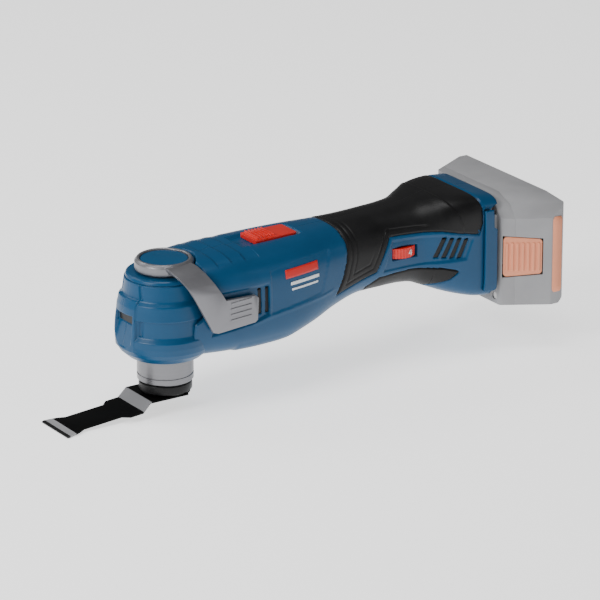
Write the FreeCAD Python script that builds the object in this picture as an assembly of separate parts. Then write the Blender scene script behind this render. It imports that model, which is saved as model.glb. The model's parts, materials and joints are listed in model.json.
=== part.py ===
import FreeCAD, Part
import math
import os

os.makedirs("parts", exist_ok=True)

# Cordless oscillating multi tool. Millimetres, +Z up, +X towards the battery.
# The origin is on the output spindle's axis, at the lower end of the metal neck.

# ---- Main body ----
body_side = 36.2            # half width of the motor housing
body_top = 87.0             # height of the housing's top line
body_bottom = 17.0          # height of the housing's underside
grip_side = 27.2            # half width of the hand grip
grip_top = 89.6             # height of the grip's top line
grip_bottom = 34.6          # height of the grip's underside
foot_side = 37.4            # half width of the battery foot
foot_top = 93.0
foot_bottom = 18.5
foot_end = 252.0            # rear face of the battery foot
wall = 3.4                  # housing wall, with its overmould
rubber = 1.4                # overmould thickness
panel_depth = 1.0           # depth of the dial's side pocket
seam_gap = 0.05             # gap between the two housing halves

# ---- Head, lever and neck ----
head_base_radius = 26.0
head_radius = 33.9
head_top = 77.7
head_top_radius = 25.4
head_base = 18.5            # underside of the head, where the neck leaves it
tier_step = 0.8             # ledge between two tiers of the head
neck_radius = 19.5
neck_bore_radius = 15.2
lever_ring_radius = 20.3
lever_ring_low = 79.0
lever_ring_high = 87.0
lever_cap_radius = 16.3
lever_side = 36.9           # inner face of the lever's side arm
lever_thickness = 2.6
lever_clearance = 1.6

# ---- Drive ----
motor_height = 44.0         # height of the motor shaft
shaft_radius = 3.0
stator_radius = 22.0
rotor_radius = 12.0
air_gap = 0.5
motor_front = 44.0          # front face of the stator
motor_length = 28.0
spindle_radius = 6.5
clamp_rod_radius = 2.6
running_gap = 0.04          # radial gap of a running fit
eccentric_throw = 0.8
eccentric_radius = 5.5      # outside of the eccentric's ball bearing
fork_gap = 1.7              # side room between the fork and that bearing
gear_case_radius = 26.0
gear_case_wall = 2.4
fork_reach = 24.0           # spindle axis to the eccentric's middle

# ---- Blade ----
holder_radius = 18.4
holder_height = 8.4
blade_thickness = 1.2
blade_hub_half = 17.0
blade_mid_half = 12.5
blade_tip_half = 17.6
blade_drop = 6.0            # height of the blade's crank
blade_slope = 4.6           # degrees, downwards to the tip
blade_reach = 88.0

# ---- Switch and dial ----
switch_front = 67.0
switch_length = 34.0
switch_half = 10.0
switch_travel = 8.0
switch_height = 90.0
dial_x = 180.0
dial_radius = 13.0
dial_low = 59.4
dial_high = 66.6
dial_stand_out = 2.6        # how far the dial's rim stands out of the pocket

# ---- Battery ----
pack_front = foot_end + 0.8
pack_back = 295.4
pack_front_half = foot_side + 1.5   # half width where the pack meets the foot
pack_near = -57.5           # end with the release button
pack_far = 56.0
pack_flare = 284.0          # place along X where the slanted ends reach their full width
pack_low = 13.0
pack_high = 92.0
pack_wall = 2.6
pack_corner = 5.0
cell_radius = 9.2
cell_length = 65.0
cell_pitch = 19.2
button_start = 2.2          # release button, measured along the slanted near end
button_end = 29.8
button_height = 49.0        # height of its middle
button_half_front = 15.0    # half height at its front and rear ends
button_half_rear = 12.8
button_thickness = 2.3
rail_low = 26.0             # rail pocket in the foot
rail_high = 85.0
rail_lip = 5.0
rail_floor = 240.0
rail_lip_front = 248.5
rail_near = -40.0           # open end of the pocket, just outside the foot's side
rail_far = 31.0
rail_start = -34.6          # near end of the pack's rail, a cover's thickness inside the foot's side
slide_gap = 0.5
latch_y = -25.0

vec = FreeCAD.Vector
axis_x = vec(1, 0, 0)
axis_y = vec(0, 1, 0)
axis_z = vec(0, 0, 1)
origin = vec(0, 0, 0)


# ---------- shape helpers ----------
def box(x0, x1, y0, y1, z0, z1):
    return Part.makeBox(x1 - x0, y1 - y0, z1 - z0, vec(x0, y0, z0))


def rod_x(x0, x1, radius, y=0.0, z=0.0):
    return Part.makeCylinder(radius, x1 - x0, vec(x0, y, z), axis_x)


def rod_y(y0, y1, radius, x, z):
    return Part.makeCylinder(radius, y1 - y0, vec(x, y0, z), axis_y)


def rod_z(z0, z1, radius, x=0.0, y=0.0):
    return Part.makeCylinder(radius, z1 - z0, vec(x, y, z0), axis_z)


def tube_x(x0, x1, outer, inner, z):
    return rod_x(x0, x1, outer, 0.0, z).cut(rod_x(x0 - 1, x1 + 1, inner, 0.0, z))


def tube_z(z0, z1, outer, inner):
    return rod_z(z0, z1, outer).cut(rod_z(z0 - 1, z1 + 1, inner))


def closed_face(points):
    return Part.Face(Part.makePolygon(points + [points[0]]))


def turned(profile):
    """A solid turned about the spindle's axis from (radius, height) points."""
    face = closed_face([vec(r, 0, z) for r, z in profile])
    return face.revolve(origin, axis_z, 360)


def side_prism(outline, y0, y1):
    """A solid with an (x, z) outline, from y0 to y1."""
    face = closed_face([vec(x, y0, z) for x, z in outline])
    return face.extrude(vec(0, y1 - y0, 0))


def plan_prism(outline, z0, z1):
    """A solid with an (x, y) outline, from z0 to z1."""
    face = closed_face([vec(x, y, z0) for x, y in outline])
    return face.extrude(vec(0, 0, z1 - z0))


def end_prism(outline, x0, x1):
    """A solid with a (y, z) outline, from x0 to x1."""
    face = closed_face([vec(x0, y, z) for y, z in outline])
    return face.extrude(vec(x1 - x0, 0, 0))


def soften(shape, radius, direction):
    """Round the straight edges that run along one direction."""
    edges = []
    for edge in shape.Edges:
        if not isinstance(edge.Curve, Part.Line):
            continue
        if abs(edge.tangentAt(edge.FirstParameter).dot(direction)) > 0.999:
            edges.append(edge)
    return shape.makeFillet(radius, edges)


def joined(shapes):
    return shapes[0].multiFuse(shapes[1:]).removeSplitter()


def save(name, shape):
    for solid in shape.Solids:
        if not solid.isValid() or solid.Volume < 0.5:
            print("CHECK", name, solid.isValid(), solid.Volume)
    shape.exportStep("parts/" + name + ".step")
    print(name, len(shape.Solids), round(shape.Volume, 1))


# ---------- outer form ----------
# Cross-sections from the head to the foot: place along X, half width, underside,
# top, and how square the section is (2 is an ellipse).
sections = [
    (0.0, 33.6, 18.5, 84.0, 3.4),
    (16.0, 35.0, 18.0, 86.0, 3.5),
    (34.0, body_side, body_bottom, body_top, 3.6),
    (62.0, body_side, body_bottom - 0.6, body_top, 3.6),
    (86.0, body_side - 0.8, body_bottom + 0.8, body_top + 0.4, 3.5),
    (105.0, 33.2, 22.0, 88.2, 3.1),
    (125.0, 29.8, 29.0, 88.4, 2.8),
    (145.0, grip_side + 0.3, grip_bottom - 0.6, grip_top - 0.9, 2.6),
    (165.0, grip_side, grip_bottom, grip_top, 2.5),
    (185.0, grip_side + 0.3, grip_bottom, grip_top + 0.9, 2.6),
    (195.0, 28.6, 33.2, 91.4, 2.8),
    (205.0, 32.0, 29.2, 93.6, 3.4),
    (215.0, 34.8, 25.4, 95.2, 4.4),
    (226.0, foot_side - 1.0, 22.0, 95.4, 5.6),
    (238.0, foot_side, 19.4, 94.6, 7.0),
    (foot_end, foot_side, foot_bottom, foot_top, 8.0),
]
section_points = 28


def section_wire(x, half_width, low, high, power, inset):
    """A superellipse section, moved inwards by the inset."""
    half_y = half_width - inset
    half_z = (high - low) / 2 - inset
    middle = (high + low) / 2
    points = []
    for i in range(section_points):
        turn = 2 * math.pi * i / section_points
        c = math.cos(turn)
        s = math.sin(turn)
        y = half_y * math.copysign(abs(c) ** (2 / power), c)
        z = middle + half_z * math.copysign(abs(s) ** (2 / power), s)
        points.append(vec(x, y, z))
    curve = Part.BSplineCurve()
    curve.interpolate(Points=points, PeriodicFlag=True)
    return Part.Wire([curve.toShape()])


def body_form(inset):
    wires = [section_wire(*section, inset) for section in sections]
    return Part.makeLoft(wires, True, False)


def head_form():
    """Four tiers, each a little wider than the one above it."""
    profile = [(0.0, head_base), (head_base_radius, head_base)]
    profile += [(head_radius - 1.4, 25.0), (head_radius, 37.0)]
    for height, radius in ((39.2, 33.1), (51.2, 32.1), (63.2, 29.8), (75.4, 26.6)):
        profile.append((radius + tier_step, height))
        profile.append((radius, height))
    profile += [(head_top_radius, head_top), (0.0, head_top)]
    return turned(profile)


# Side outline of the rubber grip, of the belly pad and of the dial's pocket.
grip_outline = [(121, 43), (127, 56), (130.5, 68), (131.5, 78), (129.5, 88), (126, 110),
                (236, 110), (239, 86), (239, 76), (236, 68.5), (207, 74.5), (168, 76),
                (163, 66), (156.5, 52.5)]
belly_outline = [(150, 42), (160, 48), (185, 49.5), (209, 47.6), (221, 44), (214, 38),
                 (203, 33), (198, 15), (150, 15)]
pocket_outline = [(162, 51.5), (170, 74), (207, 72.6), (231, 67.4), (225, 51.5)]
screw_places = [(48, 76.5), (102, 30), (106, 79), (155, 43), (160, 80.5), (221, 87), (221, 30)]
screw_boss_radius = 4.0
screw_radius = 1.5
screw_head_radius = 3.1
screw_head_height = 2.4
screw_gap = 0.2


def nose_band():
    """The raised panel down the middle of the head's nose."""
    profile = [(0.0, 27.0), (34.2, 27.0), (34.9, 37.0), (34.4, 46.0), (33.4, 58.0), (32.0, 64.0), (0.0, 64.0)]
    half = 12.5
    return turned(profile).common(box(-40, -20, -half, half, 20, 70))


lamp_low = 46.0
lamp_high = 53.0
lamp_back = -28.4


def lamp_scoop():
    """The window over the lamp and the sloping scoop below it."""
    outline = [(-45, 29), (-33.8, 29), (lamp_back, lamp_low), (lamp_back, lamp_high), (-45, lamp_high)]
    return side_prism(outline, -9.5, 9.5)


def outer_form():
    lever_way = [(-60, 120), (12.5, 120), (15.5, head_top), (21, 62), (21, 54), (5, 46), (-60, 46)]
    body = body_form(0.0).cut(side_prism(lever_way, -60, 60))
    ring_way = rod_z(head_top, 120, lever_ring_radius + lever_clearance)
    whole = body.cut(ring_way).fuse([head_form(), nose_band()])
    return whole.cut(lamp_scoop())


def inner_form():
    body = body_form(wall).common(box(12, foot_end - 16, -60, 60, 0, 120))
    head_room = turned([(0, 20.7), (gear_case_radius + 0.4, 20.7), (gear_case_radius + 0.4, 62.0),
                        (21.0, 73.0), (0, 73.0)])
    return body.fuse(head_room)


slot_width = 2.6
slot_lean = 6.0             # how far a rear air slot leans back over its height


def vent_cuts():
    """Air slots through both side walls, near the motor's fan and behind the dial."""
    cuts = []
    for x in (53.0, 59.4):
        cuts.append(box(x, x + slot_width, -50, 50, 45.5, 64))
    for i in range(4):
        x = 201.5 + 5.6 * i
        low = 56.2 - 0.9 * i
        high = 69.6 - 1.0 * i
        slot = [(x, low), (x + slot_width, low), (x + slot_lean + slot_width, high), (x + slot_lean, high)]
        cuts.append(side_prism(slot, -50, 50))
    return cuts


def rail_pocket():
    """The T-shaped pocket that the battery's rails slide into, open towards -Y."""
    lip_low = rail_low + rail_lip
    lip_high = rail_high - rail_lip
    lip_front = rail_lip_front - 0.1
    wide = box(rail_floor, rail_lip_front, rail_near, rail_far, rail_low, rail_high)
    narrow = box(lip_front, foot_end + 1, rail_near, rail_far, lip_low, lip_high)
    latch_way = box(lip_front, foot_end + 1, rail_near, latch_y + 4.0, lip_high - 0.1, rail_high)
    return [wide, narrow, latch_way]


switch_floor = 85.0
dial_y = -(grip_side - panel_depth) + dial_radius - dial_stand_out
dial_clearance = 0.6
dial_window = 10.4          # half width of the dial's window


def screw_seat(x, z):
    """Height along Y of the screw head's seat, a little inside the left wall."""
    for station, half_width, low, high, power in sections:
        if station >= x:
            return half_width - 9.0
    return foot_side - 9.0


def build_housing(outer, inner):
    """Two half shells that meet at y = 0, with screw bosses, pockets and openings."""
    shell = outer.cut(inner)
    skin = outer.cut(body_form(rubber))
    pocket_skin = outer.cut(body_form(panel_depth))
    cuts = [skin.common(side_prism(grip_outline, -60, 60))]
    cuts.append(skin.common(side_prism(belly_outline, -60, 60)))
    cuts.append(pocket_skin.common(side_prism(pocket_outline, -60, 60)))
    cuts += vent_cuts()
    cuts += rail_pocket()
    cuts.append(box(rail_floor - 4.2, rail_floor + 0.1, -30.2, 30.2, 33.8, 78.2))
    cuts.append(box(lamp_back - 1, lamp_back + 4, -9.0, 9.0, lamp_low + 0.2, lamp_high - 0.2))
    cuts.append(rod_z(10, 21, neck_radius + 0.3))
    cuts.append(rod_z(70, 90, 16.6))
    cuts.append(box(switch_front - switch_travel - 3, switch_front + switch_length + 2,
                    -switch_half - 1.2, switch_half + 1.2, switch_floor, 100))
    cuts.append(box(61, 97, -4.2, 4.2, 78, 100))
    cuts.append(box(dial_x - dial_window, dial_x + dial_window, -40, dial_y + 4,
                    dial_low - dial_clearance, dial_high + dial_clearance))
    boss_form = body_form(rubber)
    bosses = []
    holes = []
    for x, z in screw_places:
        seat = screw_seat(x, z)
        bosses.append(rod_y(-60, 60, screw_boss_radius, x, z).common(boss_form))
        holes.append(rod_y(-14, seat + 1, screw_radius + screw_gap, x, z))
        holes.append(rod_y(seat, 60, screw_head_radius + screw_gap, x, z))
    shell = shell.fuse(bosses).cut(cuts).cut(holes)
    left = shell.common(box(-60, 300, seam_gap / 2, 60, 0, 120))
    right = shell.common(box(-60, 300, -60, -seam_gap / 2, 0, 120))
    save("housing_left", left)
    save("housing_right", right)


def build_grips(outer):
    """Rubber overmoulds bonded into shallow pockets of each half."""
    skin = outer.cut(body_form(rubber))
    grip = skin.common(side_prism(grip_outline, -60, 60))
    belly = skin.common(side_prism(belly_outline, -60, 60))
    left_side = box(100, 260, seam_gap / 2, 60, 0, 120)
    right_side = box(100, 260, -60, -seam_gap / 2, 0, 120)
    heads = []
    for x, z in screw_places:
        heads.append(rod_y(10, 60, screw_head_radius + screw_gap, x, z))
    save("grip_left", Part.Compound([grip.common(left_side).cut(heads), belly.common(left_side).cut(heads)]))
    save("grip_right", Part.Compound([grip.common(right_side), belly.common(right_side)]))


# ---------- what is inside ----------
def build_neck():
    """The metal neck with its mounting flange, and the rubber ring that seals it."""
    profile = [(neck_bore_radius, 0.0), (neck_radius - 0.4, 0.0), (neck_radius, 0.6), (neck_radius, 4.2)]
    profile += [(neck_radius - 0.5, 4.5), (neck_radius - 0.5, 5.1), (neck_radius, 5.4)]
    profile += [(neck_radius, head_base + 2.3), (gear_case_radius - 1, head_base + 2.3)]
    profile += [(gear_case_radius - 1, case_floor), (neck_bore_radius, case_floor)]
    save("neck_collar", turned(profile))
    save("spindle_seal", tube_z(case_floor - 3.4, case_floor - 0.2, neck_bore_radius, spindle_radius + 0.5))


case_floor = 24.0
case_top = 62.0
lower_bearing = (case_floor + 0.2, case_floor + 7.2, 13.0)
upper_bearing = (case_top - 8.2, case_top - 2.2, 11.0)


def bearing(low, high, outer, inner):
    """A sealed ball bearing standing on the spindle's axis: two rings, balls and a seal plate."""
    middle = (outer + inner) / 2
    ball = (outer - inner) * 0.27
    rings = [tube_z(low, high, outer, middle + ball * 0.7), tube_z(low, high, middle - ball * 0.7, inner)]
    ball_ring = Part.makeTorus(middle, ball, vec(0, 0, (low + high) / 2), axis_z)
    return joined(rings + [ball_ring])


def turned_along_x(shape, x, z):
    """Lay a shape built on the spindle's axis along the motor's axis."""
    laid = shape.copy()
    laid.rotate(origin, axis_y, 90)
    laid.translate(vec(x, 0, z))
    return laid


def build_gear_case():
    """A cast cup round the drive, with a seat for each spindle bearing and a way in for the motor."""
    low_seat = lower_bearing[2]
    top_seat = upper_bearing[2]
    inner = gear_case_radius - gear_case_wall
    case = rod_z(case_floor + 0.1, case_top, gear_case_radius)
    room = rod_z(lower_bearing[1], upper_bearing[0], inner)
    seats = [rod_z(case_floor, case_floor + 9, low_seat), rod_z(upper_bearing[0] - 1, case_top + 1, top_seat)]
    case = case.cut([room] + seats)
    mouth = rod_x(10, motor_plate_front, 15.0, 0.0, motor_height)
    case = case.cut(mouth)
    collar = tube_x(20, motor_plate_front - 0.2, 17.5, 15.0, motor_height)
    collar = collar.cut(rod_z(0, 100, gear_case_radius - 0.6))
    save("gear_case", joined([case, collar]))
    save("spindle_bearing_lower", bearing(lower_bearing[0], lower_bearing[1], low_seat, spindle_radius))
    save("spindle_bearing_upper", bearing(upper_bearing[0], upper_bearing[1], top_seat, spindle_radius))
    cover = tube_z(case_top + 0.1, case_top + 2.4, 19.0, spindle_radius + 1.0)
    save("gear_case_cover", cover)


motor_plate_front = motor_front - 12.0
motor_plate_back = motor_front - 8.5
motor_back = motor_front + motor_length
front_race = (motor_plate_back - 7.0, motor_plate_back, 8.0)


def build_spindle():
    bore = clamp_rod_radius + running_gap
    spindle = turned([(bore, spindle_bottom), (spindle_radius, spindle_bottom),
                      (spindle_radius, spindle_top), (bore, spindle_top)])
    save("spindle", spindle)
    hub = rod_z(motor_height - 7, motor_height + 7, 10.5)
    half_slot = eccentric_radius + fork_gap
    arm = box(2, fork_reach + 4.0, -half_slot - 4, half_slot + 4, motor_height - 6, motor_height + 6)
    slot = box(fork_reach - 6.6, fork_reach + 6, -half_slot, half_slot, motor_height - 8, motor_height + 8)
    fork = joined([hub, arm]).cut([slot, rod_z(0, 100, spindle_radius)])
    fork = fork.common(rod_z(0, 100, fork_reach + 4.6))
    save("rocker_fork", fork)
    holder = turned([(spindle_radius, spindle_bottom), (spindle_radius, 14.0), (12.0, 14.0),
                     (12.0, 1.2), (14.6, 1.2), (14.6, -0.5), (holder_radius - 1.2, -0.5), (holder_radius, -1.7),
                     (holder_radius, 1.5 - holder_height), (holder_radius - 1.5, -holder_height),
                     (11.0, -holder_height), (11.0, spindle_bottom)])
    for side in (-1, 1):
        holder = holder.cut(rod_y(-12.0, 12.0, 1.0, side * jaw_pin_place, jaw_pin_height))
    save("tool_holder", holder)


jaw_pin_height = -4.6
jaw_pin_place = 5.6
jaw_low = -12.6
jaw_half = 3.0
spindle_top = case_top + 4.0
spindle_bottom = -2.6
rod_low = -0.6
rod_head = 72.0
spring_turns = 4


def build_clamp():
    """The rod down the spindle's middle and the two jaws that it spreads."""
    rod = joined([rod_z(rod_low, rod_head, clamp_rod_radius), rod_z(rod_head - 0.1, rod_head + 1.8, 5.0)])
    save("clamp_rod", rod)
    turns = []
    pitch = (rod_head - spindle_top) / spring_turns
    for i in range(spring_turns):
        turns.append(Part.makeTorus(4.0, 0.45, vec(0, 0, spindle_top + (i + 0.5) * pitch), axis_z))
    save("clamp_spring", Part.Compound(turns))
    outline = [(2.1, jaw_low + 0.8), (2.1, -5.6), (4.4, -3.4), (7.6, -3.4), (7.6, -7.2), (4.8, -8.0),
               (4.8, blade_low - 0.3), (7.0, blade_low - 0.3), (7.0, jaw_low + 1.4), (5.2, jaw_low)]
    for name, side in (("clamp_jaw_front", -1), ("clamp_jaw_rear", 1)):
        jaw = side_prism([(side * x, z) for x, z in outline], -jaw_half, jaw_half)
        save(name, jaw.cut(rod_y(-9, 9, 1.0 + running_gap, side * jaw_pin_place, jaw_pin_height)))
    pins = []
    for side in (-1, 1):
        pins.append(rod_y(-12.0, 12.0, 1.0, side * jaw_pin_place, jaw_pin_height))
    save("jaw_pins", Part.Compound(pins))


blade_top = -holder_height - 0.2
blade_low = blade_top - blade_thickness


def build_blade():
    """A cranked plunge-cut blade: hub, crank, neck and flared tip with a hard toothed strip."""
    slope = math.tan(math.radians(blade_slope))
    crank_end = -28.0
    crank_low = blade_top - blade_drop
    tip = -blade_reach
    tip_low = crank_low + (tip - crank_end) * slope
    upper = [(17.0, blade_top), (-21.5, blade_top), (crank_end, crank_low), (tip, tip_low)]
    lower = [(x, z - blade_thickness) for x, z in reversed(upper)]
    lower[2] = (-21.5 - 0.6, blade_low)
    profile = side_prism(upper + lower, -25, 25)
    strip = -81.5
    plan = [(8, blade_hub_half), (-38, blade_hub_half), (-42.5, blade_mid_half), (-72, blade_mid_half),
            (-77, blade_tip_half - 2.4), (strip, blade_tip_half - 1.0)]
    outline = plan + [(x, -y) for x, y in reversed(plan)]
    body = profile.common(joined([plan_prism(outline, -60, 20), rod_z(-60, 20, blade_hub_half)]))
    opening = rod_z(-60, 20, 6.2)
    notches = []
    for i in range(12):
        turn = math.radians(30 * i + 15)
        notches.append(rod_z(-60, 20, 1.5, 12.6 * math.cos(turn), 12.6 * math.sin(turn)))
    body = body.cut([opening] + notches)
    save("blade", body)
    teeth = [(strip - 0.05, blade_tip_half - 1.0), (tip + 1.6, blade_tip_half)]
    pitch = 1.4
    count = int(2 * blade_tip_half / pitch)
    edge = []
    for i in range(count):
        y = blade_tip_half - (i + 0.5) * 2 * blade_tip_half / count
        edge.append((tip, y))
        edge.append((tip + 1.6, y - blade_tip_half / count))
    bottom = [(strip - 0.05, -blade_tip_half + 1.0)]
    save("blade_teeth", profile.common(plan_prism(teeth + edge + bottom, -60, 20)))


def build_lever():
    """The clamping lever: a ring on the head with an arm that comes down the side to a finger tab."""
    ring = turned([(lever_cap_radius + 0.4, lever_ring_low), (lever_ring_radius - 0.6, lever_ring_low),
                   (lever_ring_radius, lever_ring_low + 0.8), (lever_ring_radius, lever_ring_high - 2.2),
                   (lever_ring_radius - 1.8, lever_ring_high), (lever_cap_radius + 1.0, lever_ring_high),
                   (lever_cap_radius + 0.4, lever_ring_high - 0.6)])
    out = -lever_side - lever_thickness
    strap = [(-14.0, 81.0), (-14.0, lever_ring_high - 1.2), (-24.0, lever_ring_high - 1.6),
             (-33.0, 82.0), (-38.0, 75.0), (out, 68.0), (out, 38.0), (-lever_side, 38.0), (-lever_side, 68.0),
             (-35.6, 73.6), (-31.5, 79.0), (-24.0, 81.8), (-20.0, 81.0)]
    side = [(-11, 90), (9.0, 90), (12.5, 82.5), (25.0, 62.0), (48.6, 61.4), (51.0, 59.0), (50.2, 43.5),
            (48.2, 41.9), (18.5, 39.6), (14.6, 41.0), (-4.5, 76.5), (-9.6, 84.0)]
    arm = end_prism(strap, -20, 60).common(side_prism(side, -60, 0)).cut(rod_z(0, 100, lever_cap_radius + 0.4))
    ribs = []
    for i in range(4):
        z = 46.5 + 4.0 * i
        rib = [(28.5, z - 0.3), (28.5, z + 1.1), (45.0, z + 2.1), (45.0, z + 0.7)]
        ribs.append(side_prism(rib, out - 0.6, out + 0.2))
    save("clamping_lever", joined([ring, arm] + ribs))
    cap = turned([(0, lever_ring_low), (lever_cap_radius, lever_ring_low),
                  (lever_cap_radius, lever_ring_high - 1.0), (lever_cap_radius - 1.4, lever_ring_high - 0.8), (0, lever_ring_high - 2.0)])
    save("lever_cap", cap)
    cam_low = rod_head + 2.1
    hub = turned([(0, cam_low), (9.0, cam_low), (9.0, cam_low + 1.2), (16.0, cam_low + 1.2),
                  (16.0, lever_ring_low - 0.1), (0, lever_ring_low - 0.1)])
    save("lever_cam", hub)


def build_motor():
    z = motor_height
    ring = tube_x(motor_front, motor_back, stator_radius, rotor_radius + air_gap, z)
    slots = []
    for i in range(6):
        turn = math.radians(60 * i + 30)
        y = 15.8 * math.cos(turn)
        slots.append(rod_x(motor_front - 1, motor_back + 1, 2.4, y, z + 15.8 * math.sin(turn)))
    save("stator", ring.cut(slots))
    coils = []
    for start in (motor_front - 4.0, motor_back):
        for i in range(6):
            turn = math.radians(60 * i)
            y = 16.0 * math.cos(turn)
            coils.append(rod_x(start + 0.02, start + 3.98, 3.2, y, z + 16.0 * math.sin(turn)))
    save("windings", Part.Compound(coils))
    shaft = rod_x(11.0, motor_back + 22, shaft_radius, 0.0, z)
    crank = rod_x(fork_reach - 4.2, fork_reach + 4.2, eccentric_radius - 2.0, 0.0, z + eccentric_throw)
    shaft = shaft.common(rod_x(fork_reach + 4.1, 200, 50, 0.0, z)).fuse(crank)
    save("motor_shaft", shaft.removeSplitter())
    ball_race = tube_z(-3.0, 3.0, eccentric_radius, eccentric_radius - 2.0)
    save("eccentric_bearing", turned_along_x(ball_race, fork_reach, z + eccentric_throw))
    weight = rod_x(motor_back + 1.2, motor_back + 2.6, 11.5, 0.0, z).cut(box(0, 200, -20, 20, z, 80))
    hub = rod_x(motor_back + 1.0, motor_back + 4.6, 6.0, 0.0, z)
    save("balance_weight", joined([weight, hub]).cut(rod_x(0, 200, shaft_radius, 0.0, z)))
    core = tube_x(motor_front, motor_back, rotor_radius - 2.5, shaft_radius, z)
    save("rotor_core", core)
    magnets = []
    sleeve = tube_x(motor_front + 1, motor_back - 1, rotor_radius, rotor_radius - 2.5, z)
    for i in range(4):
        blade = box(motor_front, motor_back, -8.0, 8.0, 0, 20)
        blade.translate(vec(0, 0, z))
        blade.rotate(vec(0, 0, z), axis_x, 90 * i)
        magnets.append(sleeve.common(blade))
    save("rotor_magnets", Part.Compound(magnets))
    disc = tube_x(fan_front, fan_front + 1.4, 19.0, shaft_radius, z)
    vanes = []
    for i in range(9):
        vane = box(fan_front + 1.3, fan_front + 7.0, -0.7, 0.7, 7.0, 18.6)
        vane.rotate(origin, axis_x, 40 * i)
        vane.translate(vec(0, 0, z))
        vanes.append(vane)
    collar = tube_x(fan_front, fan_front + 7.0, 6.0, shaft_radius, z)
    save("cooling_fan", joined([disc, collar] + vanes))


fan_front = motor_back + 5.2
rear_race = (fan_front + 8.6, fan_front + 14.6, 7.0)


def build_motor_mounts():
    z = motor_height
    front = rod_x(motor_plate_front, motor_front - 0.1, stator_radius + 1.2, 0.0, z)
    hollow = rod_x(motor_plate_back, motor_front, stator_radius - 1.0, 0.0, z)
    front = front.cut([hollow, rod_x(0, 100, front_race[2], 0.0, z)])
    boss = tube_x(front_race[0], motor_plate_back, front_race[2] + 2.4, front_race[2], z)
    save("motor_front_plate", joined([front, boss]))
    half = (front_race[1] - front_race[0]) / 2
    race = bearing(-half, half, front_race[2], shaft_radius)
    save("motor_bearing_front", turned_along_x(race, (front_race[0] + front_race[1]) / 2, z))
    half = (rear_race[1] - rear_race[0]) / 2
    tail = bearing(-half, half, rear_race[2], shaft_radius)
    save("motor_bearing_rear", turned_along_x(tail, (rear_race[0] + rear_race[1]) / 2, z))
    plate = rod_x(rear_race[0], rear_race[1], 10.0, 0.0, z)
    web = box(rear_race[0] + 1, rear_race[0] + 4, -21, 21, z - 5, z + 5)
    save("motor_rear_mount", joined([plate, web]).cut(rod_x(0, 200, rear_race[2], 0.0, z)))


def build_electronics():
    """Switch, speed dial, motor controller and the board behind the lamp."""
    board = box(lamp_back + 0.9, lamp_back + 1.9, -4, 4, lamp_low + 0.7, lamp_high - 0.7)
    lamp_case = box(lamp_back - 1.6, lamp_back + 0.8, -8.8, 8.8, lamp_low + 0.4, lamp_high - 0.4)
    save("lamp_lens", lamp_case)
    save("lamp_board", board)
    body = box(60.0, 96.0, -8.5, 8.5, 68.0, 78.0)
    save("switch_module", soften(body, 1.0, axis_z))
    lever = box(78.0, 82.0, -3.0, 3.0, 78.2, 81.5)
    save("switch_link", joined([lever, box(70.0, 88.6, -3.6, 3.6, 81.5, 83.2)]))
    knob_base = box(switch_front, switch_front + switch_length, -switch_half, switch_half,
                    switch_floor + 0.4, switch_height - 1.6)
    knob_base = soften(knob_base, 1.6, axis_z)
    ridges = []
    for i in range(6):
        x = switch_front + 2.5 + 2.6 * i
        foot = switch_height - 2
        ridge = [(x, foot), (x + 0.6, switch_height), (x + 1.4, switch_height), (x + 1.8, foot)]
        ridges.append(side_prism(ridge, -switch_half + 1.5, switch_half - 1.5))
    stem = box(70.0, 88.6, -3.6, 3.6, 83.2, switch_floor + 0.5)
    save("slide_switch", joined([knob_base, stem] + ridges))
    wheel = rod_z(dial_low, dial_high, dial_radius, dial_x, dial_y)
    grooves = []
    for i in range(36):
        turn = math.radians(10 * i)
        grooves.append(rod_z(dial_low - 1, dial_high + 1, 0.45, dial_x + dial_radius * math.cos(turn),
                             dial_y + dial_radius * math.sin(turn)))
    save("speed_dial", wheel.cut(grooves).fuse(rod_z(dial_low - 3.0, dial_low, 3.0, dial_x, dial_y)))
    pot = box(dial_x - 7, dial_x + 7, dial_y - 5, dial_y + 7, dial_low - 9, dial_low - 1.2)
    pot = pot.cut(rod_z(dial_low - 4, dial_low, 3.0 + running_gap, dial_x, dial_y))
    board_low = dial_low - 10.6
    dial_board = box(dial_x - 14, dial_x + 12, dial_y - 4, dial_y + 14, board_low, board_low + 1.6)
    save("dial_board", pot.fuse(dial_board))
    tray = box(112, 150, -17, 17, 50, 68)
    tray = soften(tray, 2.0, axis_z).cut(box(114, 148, -15, 15, 53, 70))
    save("controller_tray", tray)
    caps = [box(114.3, 147.7, -14.7, 14.7, 58, 59.6)]
    for x in (121, 132, 142):
        caps.append(rod_z(59.6, 72, 4.2, x, 8.0))
    save("controller_board", joined(caps))
    sink = box(114.6, 147.4, -13, 0, 59.7, 62)
    fins = []
    for i in range(6):
        fins.append(box(114.6, 147.4, -12.8 + 2.3 * i, -11.8 + 2.3 * i, 61.9, 71))
    save("heat_sink", joined([sink] + fins))


blade_contact_heights = (44.0, 50.0, 62.0)


def build_terminals():
    """The carrier at the bottom of the rail pocket, with its three contact tongues."""
    carrier = box(rail_floor - 3.6, rail_floor - 0.1, -30, 30, 34, 78)
    tongues = []
    slots = []
    for z in blade_contact_heights:
        tongues.append(box(rail_floor - 8, rail_floor + 6.5, 2, 24, z, z + 0.8))
        slots.append(box(rail_floor - 9, rail_floor + 1, 2, 24, z, z + 0.8))
    window = box(rail_floor - 0.2, rail_floor + 0.1, -28, 28, 36, 76)
    save("terminal_carrier", carrier.cut(slots).cut(window))
    save("contact_tongues", Part.Compound(tongues))


def build_screws():
    screws = []
    for x, z in screw_places:
        seat = screw_seat(x, z)
        head = rod_y(seat + 0.02, seat + screw_head_height, screw_head_radius, x, z)
        socket = rod_y(seat + 0.9, seat + 4, 1.3, x, z)
        shank = rod_y(-13.0, seat + 0.02, screw_radius, x, z)
        screws.append(head.cut(socket).fuse(shank))
    save("housing_screws", Part.Compound(screws))


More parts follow.
